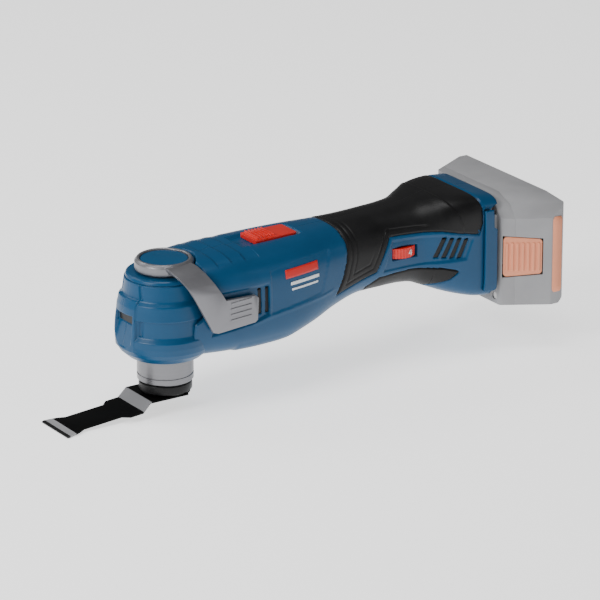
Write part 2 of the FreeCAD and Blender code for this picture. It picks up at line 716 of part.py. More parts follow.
# ---------- battery ----------
def pack_plan(inset, front):
    """The pack's plan: as wide as the foot in front, flaring to its full width, moved in by the inset."""
    outline = []
    for side, full in ((-1, -pack_near), (1, pack_far)):
        slope = (full - pack_front_half) / (pack_flare - pack_front)
        shift = inset * math.hypot(1, slope)
        at_front = pack_front_half - shift + slope * (front - pack_front)
        bend = pack_front + (full - inset - pack_front_half + shift) / slope
        edge = side * (full - inset)
        row = [(front, side * at_front), (bend, edge), (pack_back - inset, edge)]
        outline += row if side < 0 else row[::-1]
    return outline


near_turn = math.degrees(math.atan2(-pack_near - pack_front_half, pack_flare - pack_front))


def on_near_end(shape):
    """Move a shape from the XZ plane onto the slanted near end of the pack."""
    moved = shape.copy()
    moved.rotate(origin, axis_z, -near_turn)
    moved.translate(vec(pack_front, -pack_front_half, 0))
    return moved


def near_facet(inset):
    """What the two sloping facets above the release button take off."""
    top = pack_high - inset
    profile = [(-9 + inset, top - 14.6), (inset, top - 14.6), (6 + inset, top - 5.8), (18 + inset, top + 0.1),
               (18 + inset, top + 9), (-9 + inset, top + 9)]
    return on_near_end(end_prism(profile, -20, 60))


def button_outline(gap):
    front = button_half_front + gap
    rear = button_half_rear + gap
    return [(button_start - gap, button_height - front), (button_end + gap, button_height - rear),
            (button_end + gap, button_height + rear), (button_start - gap, button_height + front)]


pack_split = pack_front + 9.0
pack_screw_inset = 5.5
pack_screws = [(-14.0, pack_high - pack_screw_inset), (33.0, pack_high - pack_screw_inset),
               (-33.0, pack_low + pack_screw_inset), (33.0, pack_low + pack_screw_inset)]
button_gap = 0.6
button_room = 7.5           # depth of the button's hole
latch_low = 79.0
latch_high = 84.4
latch_half = 2.8
clip_gap = 0.4


def build_pack_shells():
    """The shell with the rails, and the outer cover that is screwed to it."""
    whole = soften(plan_prism(pack_plan(0, pack_front), pack_low, pack_high), pack_corner - 1.5, axis_z)
    for height, away in ((pack_high, 1), (pack_low, -1)):
        outside = height + 0.1 * away
        wedge = [(pack_back - pack_corner, outside), (pack_back + 1, height - (pack_corner + 1) * away),
                 (pack_back + 1, outside)]
        whole = whole.cut(side_prism(wedge, -80, 80))
    whole = whole.cut(near_facet(0))
    flange = box(rail_floor + 1.0, rail_lip_front - slide_gap, rail_start, rail_far - 1.0,
                 rail_low + slide_gap, rail_high - slide_gap)
    neck = box(rail_lip_front - slide_gap - 0.1, pack_front + 1, rail_start, rail_far - 1.0,
               rail_low + rail_lip + slide_gap, rail_high - rail_lip - slide_gap)
    room_plan = pack_plan(pack_wall, pack_front + pack_wall)
    room = plan_prism(room_plan, pack_low + pack_wall, pack_high - pack_wall)
    room = room.cut(near_facet(pack_wall))
    cuts = [room, box(rail_lip_front - 1.0, pack_front + 8, latch_y - latch_half - clip_gap,
                      latch_y + latch_half + clip_gap, latch_low - slide_gap, latch_high + slide_gap)]
    cuts.append(on_near_end(side_prism(button_outline(button_gap), -6, button_room)))
    for z in blade_contact_heights:
        cuts.append(box(rail_floor, rail_floor + 8.0, -2, rail_far + 1, z - 1.2, z + 2.0))
    bosses = []
    drills = []
    screws = []
    for y, z in pack_screws:
        bosses.append(rod_x(pack_front + 1, pack_split + 3.6, 3.6, y, z))
        drills.append(rod_x(pack_front - 1, pack_split + 2.4, 1.5, y, z))
        drills.append(rod_x(pack_front - 1, pack_front + 1.9, 2.7, y, z))
        shank = rod_x(pack_front + 0.6, pack_split + 2.0, 1.4, y, z)
        screws.append(rod_x(pack_front + 0.6, pack_front + 1.8, 2.4, y, z).fuse(shank))
    solid = joined([whole, flange, neck]).cut(cuts).fuse(bosses).cut(drills)
    save("battery_rail_shell", solid.common(box(200, pack_split, -70, 70, 0, 120)))
    save("battery_cover", solid.common(box(pack_split + 0.05, 320, -70, 70, 0, 120)))
    save("battery_screws", Part.Compound(screws))


def build_cells():
    """Five round cells in a row, their two holders, the straps between them and the pack's board."""
    row_x = pack_back - pack_wall - cell_radius - 0.6
    row_y = pack_far - pack_wall - cell_radius - 2.8 - 2 * cell_pitch
    middle = (pack_low + pack_high) / 2 - 1.5
    low = middle - cell_length / 2
    high = middle + cell_length / 2
    cells = []
    holes = []
    for i in range(-2, 3):
        cells.append(rod_z(low, high, cell_radius, row_x, row_y + i * cell_pitch))
        holes.append(rod_z(0, 120, cell_radius + running_gap, row_x, row_y + i * cell_pitch))
    save("battery_cells", Part.Compound(cells))
    reach = 2 * cell_pitch + 4.0
    frames = []
    for z in (low + 7, high - 13):
        plate = box(row_x - cell_radius - 2.5, row_x + 2, row_y - reach, row_y + reach, z, z + 6)
        frames += plate.cut(holes).Solids
    save("cell_holders", Part.Compound(frames))
    straps = []
    strap_half = cell_pitch / 2 + 5.0
    for i in range(2):
        y = row_y + (2 * i - 1.5) * cell_pitch
        straps.append(box(row_x - 4, row_x + 4, y - strap_half, y + strap_half, high + 0.02, high + 0.3))
        y = row_y + (2 * i - 0.5) * cell_pitch
        straps.append(box(row_x - 4, row_x + 4, y - strap_half, y + strap_half, low - 0.3, low - 0.02))
    save("cell_straps", Part.Compound(straps))
    save("battery_board", box(pack_split + 0.1, pack_split + 1.7, -24, 28, pack_low + 12, pack_high - 12))


def build_release():
    """The contact clips, and the button on the near end with the latch that it draws back."""
    clips = []
    for z in blade_contact_heights:
        for low in (z - 1.1, z + 1.2):
            clips.append(box(rail_floor + 2.0, rail_floor + 7.5, 6, 20, low, low + 0.6))
    save("battery_clips", Part.Compound(clips))
    plate = soften(side_prism(button_outline(0), 0.3, 0.3 + button_thickness), 2.6, axis_y)
    ribs = []
    rib_pitch = (button_end - button_start - 5.0) / 6
    for i in range(7):
        x = button_start + 2.5 + rib_pitch * i
        half = button_half_rear - 2.4
        ribs.append(box(x - 0.9, x + 0.9, -0.7, 0.4, button_height - half, button_height + half))
    save("release_button", on_near_end(joined([plate] + ribs)))
    save("latch", box(rail_lip_front - 0.6, pack_front + 1.6, latch_y - latch_half, latch_y + latch_half,
                      latch_low, latch_high))
    save("latch_spring", box(pack_front + 2.0, pack_front + 7.6, latch_y - 2.0, latch_y + 2.0,
                             latch_low + 1.0, latch_high - 0.8))


outer = outer_form()
build_housing(outer, inner_form())
build_grips(outer)
build_neck()
build_gear_case()
build_spindle()
build_clamp()
build_blade()
build_lever()
build_motor()
build_motor_mounts()
build_electronics()
build_terminals()
build_screws()
build_pack_shells()
build_cells()
build_release()
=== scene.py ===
import json
import math

import bmesh
import bpy
import numpy as np
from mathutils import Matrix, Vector


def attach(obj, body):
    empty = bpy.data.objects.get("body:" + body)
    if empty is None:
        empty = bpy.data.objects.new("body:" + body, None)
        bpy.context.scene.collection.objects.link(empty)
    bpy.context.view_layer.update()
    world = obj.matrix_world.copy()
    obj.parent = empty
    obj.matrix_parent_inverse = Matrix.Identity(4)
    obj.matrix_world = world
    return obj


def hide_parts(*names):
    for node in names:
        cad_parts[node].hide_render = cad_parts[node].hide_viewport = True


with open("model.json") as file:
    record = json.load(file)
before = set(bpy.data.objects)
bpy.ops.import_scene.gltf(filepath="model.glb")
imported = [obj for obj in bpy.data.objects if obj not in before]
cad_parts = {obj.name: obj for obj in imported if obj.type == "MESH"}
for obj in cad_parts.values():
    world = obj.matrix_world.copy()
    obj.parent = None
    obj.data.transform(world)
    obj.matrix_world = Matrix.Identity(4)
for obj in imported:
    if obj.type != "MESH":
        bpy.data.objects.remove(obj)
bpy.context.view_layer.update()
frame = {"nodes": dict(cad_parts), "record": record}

mm = 0.001
print("frame loaded:", len(frame["nodes"]), "nodes")


# small helpers for surfaces, all in millimetres
def ease(low, high, value):
    # smooth step: 0 below low, 1 above high, 3t^2 - 2t^3 between
    t = np.clip((value - low) / (high - low), 0, 1)
    return t * t * (3 - 2 * t)


def band(low, high, soft, value):
    # 1 between low and high, fading over soft at both ends
    return ease(low - soft / 2, low + soft / 2, value) * (1 - ease(high - soft / 2, high + soft / 2, value))


def curveThrough(knots, values, at):
    # cubic Hermite curve through the knots; each slope is the mean of its two neighbours' slopes
    knots, values = np.asarray(knots, float), np.asarray(values, float)
    chords = np.diff(values) / np.diff(knots)
    slopes = np.concatenate([chords[:1], (chords[:-1] + chords[1:]) / 2, chords[-1:]])
    i = np.clip(np.searchsorted(knots, at) - 1, 0, len(knots) - 2)
    h = knots[i + 1] - knots[i]
    t = np.clip((at - knots[i]) / h, 0, 1)
    a = (1 + 2 * t) * (1 - t) ** 2
    b = t * (1 - t) ** 2
    c = t * t * (3 - 2 * t)
    d = -t * t * (1 - t)
    return a * values[i] + b * h * slopes[i] + c * values[i + 1] + d * h * slopes[i + 1]


def outlineDistance(points, u, v):
    # signed distance to a closed outline: the least distance to its edges, negative inside
    least = np.full(np.shape(u), 1e9)
    inside = np.zeros(np.shape(u), bool)
    for (u0, v0), (u1, v1) in zip(points, points[1:] + points[:1]):
        du, dv = u1 - u0, v1 - v0
        t = np.clip(((u - u0) * du + (v - v0) * dv) / (du * du + dv * dv), 0, 1)
        least = np.minimum(least, np.hypot(u - u0 - t * du, v - v0 - t * dv))
        crosses = (v0 > v) != (v1 > v)
        if dv != 0:
            inside ^= crosses & (u < u0 + (v - v0) * du / dv)
    return np.where(inside, -least, least)


def gridNormals(points):
    # unit normals of a grid: the cross product of its two directions of travel
    du = np.gradient(points, axis=0)
    dv = np.gradient(points, axis=1)
    normal = np.cross(du, dv)
    return normal / np.maximum(np.linalg.norm(normal, axis=2, keepdims=True), 1e-9)


def outwardNormals(points, middle):
    # grid normals, turned round where they point at the line y = 0, z = middle
    normal = gridNormals(points)
    outward = np.sign(np.sum(normal * (points - [0, 0, middle]) * [0, 1, 1], axis=2, keepdims=True))
    return normal * np.where(outward == 0, 1, outward)


def surface(name, points, body, slotName, material=None, closeU=False, flip=False, replaces=()):
    # a grid of points (rows, columns, 3) in mm becomes a mesh of quads in metres, in its slot's own material
    rows, cols = points.shape[:2]
    verts = points.reshape(-1, 3)
    index = np.arange(rows * cols).reshape(rows, cols)
    up = np.roll(index, -1, axis=0) if closeU else index[1:]
    base = index if closeU else index[:-1]
    quads = np.stack([base[:, :-1], base[:, 1:], up[:, 1:], up[:, :-1]], axis=-1).reshape(-1, 4)
    if flip:
        quads = quads[:, ::-1]
    mesh = bpy.data.meshes.new(name)
    mesh.from_pydata((verts * mm).tolist(), [], quads.tolist())
    mesh.validate()
    mesh.shade_smooth()
    piece = bpy.data.objects.new(name, mesh)
    bpy.context.scene.collection.objects.link(piece)
    mesh.materials.append(material or looks[slotName])
    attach(piece, body)
    if replaces:
        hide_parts(*replaces)
    return piece


def softEdges(piece, width, segments=3, angle=30):
    # edges sharper than the angle are rounded over by the width
    bevel = piece.modifiers.new("softEdges", "BEVEL")
    bevel.width = width * mm
    bevel.segments = segments
    bevel.limit_method = "ANGLE"
    bevel.angle_limit = math.radians(angle)
    bevel.harden_normals = True


def roundedCopy(nodeName, width):
    # a CAD node's triangles, merged into flat faces, with its sharp edges rounded over
    piece = bpy.data.objects.new(nodeName + "Rounded", bpy.data.objects[nodeName].data.copy())
    bpy.context.scene.collection.objects.link(piece)
    work = bmesh.new()
    work.from_mesh(piece.data)
    bmesh.ops.remove_doubles(work, verts=work.verts, dist=1e-6)
    bmesh.ops.dissolve_limit(work, angle_limit=math.radians(1.0), verts=work.verts, edges=work.edges)
    work.to_mesh(piece.data)
    work.free()
    piece.data.shade_smooth()
    softEdges(piece, width)
    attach(piece, bodyOf[nodeName])
    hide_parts(nodeName)


def thicken(piece, depth):
    # a wall of this depth, grown inwards from the surface
    solid = piece.modifiers.new("wall", "SOLIDIFY")
    solid.thickness = depth * mm
    solid.offset = -1
    solid.use_even_offset = False


# materials: each is a node tree on Object coordinates
def finish(name, colour, rough, metal=0.0, tint=0.12, tintScale=60.0, grain=900.0, bump=0.05,
           roughSwing=0.06, stretch=(1, 1, 1), gloss=0.5):
    # a slow noise tints the colour and swings the roughness, and a fine noise gives a slight relief
    made = bpy.data.materials.new(name)
    made.use_nodes = True
    nodes, links = made.node_tree.nodes, made.node_tree.links
    shader = nodes["Principled BSDF"]
    shader.inputs["Metallic"].default_value = metal
    shader.inputs["Specular IOR Level"].default_value = gloss
    place = nodes.new("ShaderNodeTexCoord")
    mapping = nodes.new("ShaderNodeMapping")
    mapping.inputs["Scale"].default_value = stretch
    links.new(place.outputs["Object"], mapping.inputs["Vector"])
    cloud = nodes.new("ShaderNodeTexNoise")
    cloud.inputs["Scale"].default_value = tintScale
    cloud.inputs["Detail"].default_value = 4
    links.new(mapping.outputs["Vector"], cloud.inputs["Vector"])
    ramp = nodes.new("ShaderNodeValToRGB")
    ramp.color_ramp.elements[0].position = 0.3
    ramp.color_ramp.elements[1].position = 0.7
    ramp.color_ramp.elements[0].color = [c * (1 - tint) for c in colour] + [1]
    ramp.color_ramp.elements[1].color = [min(1, c * (1 + tint) + 0.002) for c in colour] + [1]
    links.new(cloud.outputs["Fac"], ramp.inputs["Fac"])
    links.new(ramp.outputs["Color"], shader.inputs["Base Color"])
    speck = nodes.new("ShaderNodeTexNoise")
    speck.inputs["Scale"].default_value = grain
    speck.inputs["Detail"].default_value = 3
    links.new(mapping.outputs["Vector"], speck.inputs["Vector"])
    swing = nodes.new("ShaderNodeMapRange")
    swing.inputs["From Min"].default_value = 0.3
    swing.inputs["From Max"].default_value = 0.7
    swing.inputs["To Min"].default_value = max(0.03, rough - roughSwing)
    swing.inputs["To Max"].default_value = min(1.0, rough + roughSwing)
    links.new(cloud.outputs["Fac"], swing.inputs["Value"])
    links.new(swing.outputs["Result"], shader.inputs["Roughness"])
    relief = nodes.new("ShaderNodeBump")
    relief.inputs["Strength"].default_value = 1.0
    relief.inputs["Distance"].default_value = bump * mm
    links.new(speck.outputs["Fac"], relief.inputs["Height"])
    links.new(relief.outputs["Normal"], shader.inputs["Normal"])
    return made


looks = {
    "blue_shell": finish("bluePlastic", (0.0004, 0.056, 0.140), 0.34,
                         tint=0.04, grain=1500, bump=0.008, roughSwing=0.01, gloss=0.3),
    "blue_cap": finish("bluePlasticCap", (0.0004, 0.064, 0.158), 0.34,
                       tint=0.03, grain=1500, bump=0.004, roughSwing=0.01, gloss=0.3),
    "grip_rubber": finish("gripRubber", (0.0035, 0.0035, 0.004), 0.45,
                          tint=0.15, grain=1800, bump=0.03, gloss=0.28),
    "seal_rubber": finish("sealRubber", (0.02, 0.02, 0.02), 0.6, grain=1200),
    "neck_metal": finish("turnedNeck", (0.19, 0.19, 0.20), 0.30,
                         metal=1.0, tint=0.08, grain=500, bump=0.012, stretch=(0.12, 0.12, 7)),
    "lever_metal": finish("castLever", (0.21, 0.21, 0.225), 0.36,
                          metal=0.6, tint=0.05, grain=1600, bump=0.02, gloss=0.4),
    "cast_case": finish("castCase", (0.55, 0.55, 0.56), 0.5, metal=0.9, grain=600, bump=0.06),
    "bearing_steel": finish("bearingSteel", (0.7, 0.7, 0.7), 0.18, metal=1.0, tint=0.04),
    "laminations": finish("laminations", (0.22, 0.22, 0.23), 0.42, metal=0.9, stretch=(20, 1, 1)),
    "copper": finish("copperWire", (0.62, 0.24, 0.09), 0.3, metal=0.9, stretch=(1, 4, 4)),
    "black_plastic": finish("blackPlastic", (0.006, 0.006, 0.007), 0.5, grain=1300, gloss=0.3),
    "clear_lens": finish("lampLens", (0.004, 0.005, 0.006), 0.3, tint=0.1, gloss=0.2),
    "board": finish("circuitBoard", (0.01, 0.12, 0.05), 0.4, tint=0.4, tintScale=400),
    "sink_aluminium": finish("heatSink", (0.6, 0.6, 0.6), 0.35, metal=1.0),
    "contact_brass": finish("contactBrass", (0.75, 0.55, 0.22), 0.25, metal=1.0),
    "screw_steel": finish("screwSteel", (0.4, 0.4, 0.4), 0.35, metal=1.0),
    "hard_steel": finish("groundSteel", (0.5, 0.5, 0.5), 0.25, metal=1.0, stretch=(1, 1, 8)),
    "black_steel": finish("blackOxide", (0.004, 0.004, 0.0045), 0.42, metal=0.0, tint=0.2, gloss=0.25),
    "magnet": finish("magnetPlate", (0.3, 0.3, 0.31), 0.25, metal=1.0),
    "red_plastic": finish("redPlastic", (0.66, 0.014, 0.006), 0.36, tint=0.06, grain=1500, bump=0.012),
    "pack_shell": finish("packPlastic", (0.30, 0.30, 0.31), 0.5, tint=0.05, grain=900, bump=0.04, gloss=0.3),
    "cell_can": finish("cellSleeve", (0.03, 0.25, 0.16), 0.3, tint=0.08),
    "strap_nickel": finish("nickelStrap", (0.6, 0.6, 0.58), 0.25, metal=1.0),
    "pack_button": finish("packCoral", (0.78, 0.30, 0.17), 0.5, tint=0.05, grain=1000, bump=0.03, gloss=0.3),
}


bladeSizes = {
    "front": -100, "back": 20,
    "stops": [(-100, 0.006), (-85.6, 0.30), (-80.6, 0.003), (-28.2, 0.22), (-21.3, 0.003)],
}


def bandedFinish(name, stops, rough, gloss):
    # colour changes in hard steps along the blade: stops are (place along X in mm, grey)
    made = finish(name, (stops[0][1],) * 3, rough, gloss=gloss, bump=0.012)
    nodes, links = made.node_tree.nodes, made.node_tree.links
    spot = nodes.new("ShaderNodeTexCoord")
    split = nodes.new("ShaderNodeSeparateXYZ")
    links.new(spot.outputs["Object"], split.inputs["Vector"])
    span = nodes.new("ShaderNodeMapRange")
    front, back = bladeSizes["front"], bladeSizes["back"]
    span.inputs["From Min"].default_value = front * mm
    span.inputs["From Max"].default_value = back * mm
    links.new(split.outputs["X"], span.inputs["Value"])
    ramp = nodes.new("ShaderNodeValToRGB")
    ramp.color_ramp.interpolation = "CONSTANT"
    ramp.color_ramp.elements.remove(ramp.color_ramp.elements[1])
    for i, (along, grey) in enumerate(stops):
        share = (along - front) / (back - front)
        element = ramp.color_ramp.elements[0] if i == 0 else ramp.color_ramp.elements.new(share)
        element.position = share
        element.color = (grey, grey, grey * 1.03, 1)
    links.new(span.outputs["Result"], ramp.inputs["Fac"])
    links.new(ramp.outputs["Color"], nodes["Principled BSDF"].inputs["Base Color"])
    return made


looks["blade_coating"] = bandedFinish("bladeCoating", bladeSizes["stops"], 0.5, 0.06)
looks["tooth_steel"] = bandedFinish("toothSteel", bladeSizes["stops"], 0.35, 0.4)

slotOf = {}
for entry in frame["record"]["subparts"]:
    slotOf[entry["node"]] = entry["material_slot"]
bodyOf = {}
for bodyName, members in frame["record"]["behaviour"]["bodies"].items():
    for member in members:
        bodyOf[member] = bodyName
for nodeName, slotName in slotOf.items():
    mesh = bpy.data.objects[nodeName].data
    mesh.materials.clear()
    mesh.materials.append(looks[slotName])
print("materials made:", len(looks))

# housing: section sizes along the body, and the outlines drawn on its sides
shellSizes = {
    "stations": [0, 16, 34, 62, 86, 105, 125, 145, 165, 185, 195, 205, 215, 226, 238, 252],
    "halfWidth": [33.6, 35, 36.2, 36.2, 35.4, 33.2, 29.8, 27.5, 27.2, 27.5, 28.6, 32, 34.8, 36.4, 37.4, 37.4],
    "underside": [18.5, 18, 17, 16.4, 17.8, 22, 29, 34, 34.6, 34.6, 33.2, 29.2, 25.4, 22, 19.4, 18.5],
    "top": [84, 86, 87, 87, 87.4, 88.2, 88.4, 88.7, 89.6, 90.5, 91.4, 93.6, 95.2, 95.4, 94.6, 93],
    "square": [3.4, 3.5, 3.6, 3.6, 3.5, 3.1, 2.8, 2.6, 2.5, 2.6, 2.8, 3.4, 4.4, 5.6, 7, 8],
    "wall": 2.2,
    "rubber": 1.4,
    "pocketDepth": 1.0,
    "ringWay": 21.9,
    "headTop": 77.7,
}
outlines = {
    "grip": [(121, 43), (127, 56), (130.5, 68), (131.5, 78), (129.5, 88), (126, 110), (236, 110), (239, 86),
             (239, 76), (236, 68.5), (207, 74.5), (168, 76), (163, 66), (156.5, 52.5)],
    "belly": [(150, 42), (160, 48), (185, 49.5), (209, 47.6), (221, 44), (214, 38), (203, 33),
              (198, 15), (150, 15)],
    "dialPocket": [(161.5, 51.0), (169.5, 73.4), (207, 72.0), (232, 67.0), (226, 51.5)],
    "labelPanel": [(63.5, 74.5), (115.6, 78.2), (107.3, 49.5), (63.5, 43.5)],
    "tabPocket": [(16, 36), (23, 66.2), (62.3, 66.2), (62.3, 43.6), (50, 40)],
}


def sectionAt(x):
    s = shellSizes
    return [curveThrough(s["stations"], s[k], x) for k in ("halfWidth", "underside", "top", "square")]


def bodyPoint(x, turn, side, inset=0.0):
    # superellipse in polar form: r = ((|cos|/a)^n + (|sin|/b)^n)^(-1/n), a and b its half width and half height
    half, low, top, power = sectionAt(x)
    a, b = half - inset, (top - low) / 2 - inset
    c, s = np.cos(turn), np.sin(turn)
    r = ((np.abs(c) / a) ** power + (np.abs(s) / b) ** power) ** (-1 / power)
    return np.stack([x + 0 * r, side * r * c, (top + low) / 2 + r * s], axis=-1)


def turnAtHeight(x, height, side=1):
    # the polar angle where the section reaches a height, by halving the interval
    low, high = np.full(np.shape(x), -np.pi / 2), np.full(np.shape(x), np.pi / 2)
    for _ in range(34):
        middle = (low + high) / 2
        under = bodyPoint(x, middle, side)[..., 2] < height
        low, high = np.where(under, middle, low), np.where(under, high, middle)
    return (low + high) / 2


def shellFront(y, z):
    # where the body starts behind the lever: a slanted wall, and a round way for the lever's ring
    wallX = np.interp(z, [18, 46, 54, 62, 77.7, 120], [0, 5, 21, 21, 15.5, 12.5])
    ring = np.sqrt(np.maximum(shellSizes["ringWay"] ** 2 - y * y, 0))
    return np.where(z > shellSizes["headTop"] - 1, np.maximum(wallX, ring), wallX)


railWindow = {"low": 26.0, "high": 85.0, "front": 239.6, "gap": 0.12, "cover": 2.9}


def rearEdge(z):
    # straight runs between heights: the visor stands out over the pack, and two shallow notches lie below it
    heights = [18, 26, 27.5, 71, 72.5, 86.5, 88, 120]
    return np.interp(z, heights, [247.6, 248.2, 249.6, 249.2, 246.6, 246.4, 252.0, 252.0])


def shellBack(z, side):
    # the near side is open between the rail window's heights, where the pack's rail comes out
    w = railWindow
    opened = band(w["low"], w["high"], 0.6, z) * (side < 0)
    return rearEdge(z) * (1 - opened) + w["front"] * opened


frontVents = {"slots": [(53.0, 55.6), (59.2, 61.8)], "low": 45.5, "high": 64.0, "depth": 3.2}
rearVents = {
    "count": 4, "first": 204.6, "pitch": 6.0, "width": 3.2, "depth": 3.2, "lean": 0.44, "middle": 62.5,
    "low": 55.6, "high": 69.4, "lowDrop": 0.7, "highDrop": 0.9,
}
ledges = {"front": 26.0, "back": 59.0, "pitch": 11.0, "depth": 1.3}


def rearVentEnds(i):
    # both ends of each slot lie a little lower than the last one's
    r = rearVents
    return r["low"] - r["lowDrop"] * i, r["high"] - r["highDrop"] * i


def shellRelief(x, y, z):
    # how far the surface stands out (+) or is sunk (-), in mm
    s = shellSizes
    onSide = np.abs(y) > 20
    nearGrip = outlineDistance(outlines["grip"], x, z)
    depth = -(s["rubber"] + 0.15) * (1 - ease(-0.5, 0.1, nearGrip))
    depth -= (s["rubber"] + 0.15) * (1 - ease(-0.5, 0.1, outlineDistance(outlines["belly"], x, z)))
    depth -= 0.35 * np.exp(-((nearGrip - 0.2) / 0.5) ** 2)
    depth -= s["pocketDepth"] * (1 - ease(-1.3, 0.1, outlineDistance(outlines["dialPocket"], x, z)))
    depth -= 0.35 * (1 - ease(-0.5, 0.1, outlineDistance(outlines["labelPanel"], x, z)))
    depth -= 1.3 * (1 - ease(-0.8, 0.2, outlineDistance(outlines["tabPocket"], x, z))) * (np.abs(y) > 25)
    f = frontVents
    for low, high in f["slots"]:
        depth -= f["depth"] * band(low, high, 0.5, x) * band(f["low"], f["high"], 0.7, z) * onSide
    r = rearVents
    for i in range(r["count"]):
        start = r["first"] + r["pitch"] * i
        along = x - r["lean"] * (z - r["middle"])
        slot = band(start, start + r["width"], 0.6, along)
        low, high = rearVentEnds(i)
        depth -= r["depth"] * slot * band(low, high, 0.8, z) * onSide
    # crease under the label, running back from the lever's tab
    creaseZ = np.interp(x, [50, 62, 108, 124], [40.2, 42.4, 47.6, 50.5])
    crease = ease(-3.0, 0, z - creaseZ) * (1 - ease(0, 0.8, z - creaseZ))
    depth += 0.45 * crease * band(48, 118, 6, x) * onSide
    # ledges across the top, in front of the switch: a saw tooth along x
    e = ledges
    ledge = np.mod(x - e["front"], e["pitch"]) / e["pitch"]
    onTop = band(e["front"], e["back"], 0.8, x) * (1 - ease(25, 28, np.abs(y))) * ease(68, 74, z)
    depth -= e["depth"] * (1 - ledge) * onTop
    # small step in the underside, behind the neck
    depth += 0.9 * ease(38, 42, x) * (1 - ease(80, 100, x)) * (1 - ease(20, 26, z))
    # shallow seam where the two halves meet
    depth -= 0.28 * np.exp(-(y / 0.35) ** 2) * (z < 60)
    return depth


switchRecess = {"front": 56.0, "back": 103.0, "half": 11.2, "floor": 85.0}
dialWindow = {"middle": 180.0, "half": 10.2, "low": 58.9, "high": 67.1, "depth": 5.0}


def makeShell(name, side, replaces):
    # one half: superellipse sections along x, each half a turn, moved along their normals by the relief
    columns = np.unique(np.concatenate([
        np.linspace(0, 75, 130), np.linspace(75, 160, 74),
        np.linspace(160, 232, 120), np.linspace(232, 252, 22),
        [52.8, 53.2, 55.4, 55.8, 59.0, 59.4, 61.6, 62.0], [169.6, 170.0, 190.0, 190.4]]))
    turns = np.linspace(-np.pi / 2, np.pi / 2, 136)
    nominal, turn = np.meshgrid(columns, turns, indexing="ij")
    rest = bodyPoint(nominal, turn, side)
    # the first and last columns slide onto the front wall's and the rear edge's lines
    front = shellFront(rest[..., 1], rest[..., 2])
    back = shellBack(rest[..., 2], side)
    x = front + (nominal - columns[0]) * (75 - front) / 75
    x = np.where(nominal > 75, nominal, x)
    x = np.where(nominal > 232, 232 + (nominal - 232) * (back - 232) / 20, x)
    # columns lean over the rear air slots, so the slots' edges follow them
    lean = band(196, 236, 10, nominal) * band(50, 74, 10, rest[..., 2])
    x = x + rearVents["lean"] * (rest[..., 2] - rearVents["middle"]) * lean
    points = bodyPoint(x, turn, side)
    normal = outwardNormals(points, 58)
    points = points + normal * shellRelief(points[..., 0], points[..., 1], points[..., 2])[..., None]
    r = switchRecess
    sunk = band(r["front"], r["back"], 0.6, points[..., 0]) * (points[..., 2] > 80)
    sunk = sunk * (1 - ease(r["half"] - 0.4, r["half"] + 0.4, np.abs(points[..., 1])))
    points[..., 2] = points[..., 2] * (1 - sunk) + (r["floor"] - 0.05) * sunk
    if side < 0:
        w = dialWindow
        hole = band(w["middle"] - w["half"], w["middle"] + w["half"], 0.5, points[..., 0])
        hole = hole * band(w["low"], w["high"], 0.6, points[..., 2])
        points[..., 1] = points[..., 1] + w["depth"] * hole
    # the front wall: two more columns, drawn in from the front edge
    edge = points[0]
    centre = np.stack([edge[:, 0], edge[:, 1] * 0.72, 52 + (edge[:, 2] - 52) * 0.80], axis=-1)
    rim = [centre, edge * 0.3 + centre * 0.7]
    points = np.concatenate([np.stack(rim), points])
    piece = surface(name, points, "housing", "blue_shell", flip=side < 0, replaces=replaces)
    thicken(piece, shellSizes["wall"])


makeShell("shellRight", -1, ["housing_right"])
makeShell("shellLeft", 1, ["housing_left"])
print("housing made")

# head: four stepped tiers round the spindle, with a raised band and lamp window on the nose
headSizes = {
    "profile": [(20.0, 18.5), (25.0, 18.5), (26.4, 18.9), (31.6, 23.6), (33.2, 26.6), (34.2, 31.0),
                (34.3, 35.4), (34.0, 36.1), (32.3, 38.3), (32.0, 39.0), (31.5, 50.0), (31.6, 50.3),
                (32.5, 50.5), (32.7, 51.0), (31.5, 60.4), (31.2, 61.1), (29.3, 63.2), (29.0, 63.8),
                (27.5, 74.0), (27.2, 74.4), (26.3, 74.6), (26.2, 75.0), (26.8, 75.3), (26.2, 77.0),
                (25.2, 77.7), (16.6, 77.7)],
    "bandHalf": 12.5, "bandLow": 27.0, "bandHigh": 64.0,
    "scoopHalf": 9.5, "scoopLow": 29.0, "lampLow": 46.0, "lampHigh": 53.0, "lampBack": 28.6,
    "sweep": 0.72, "wall": 1.6,
}


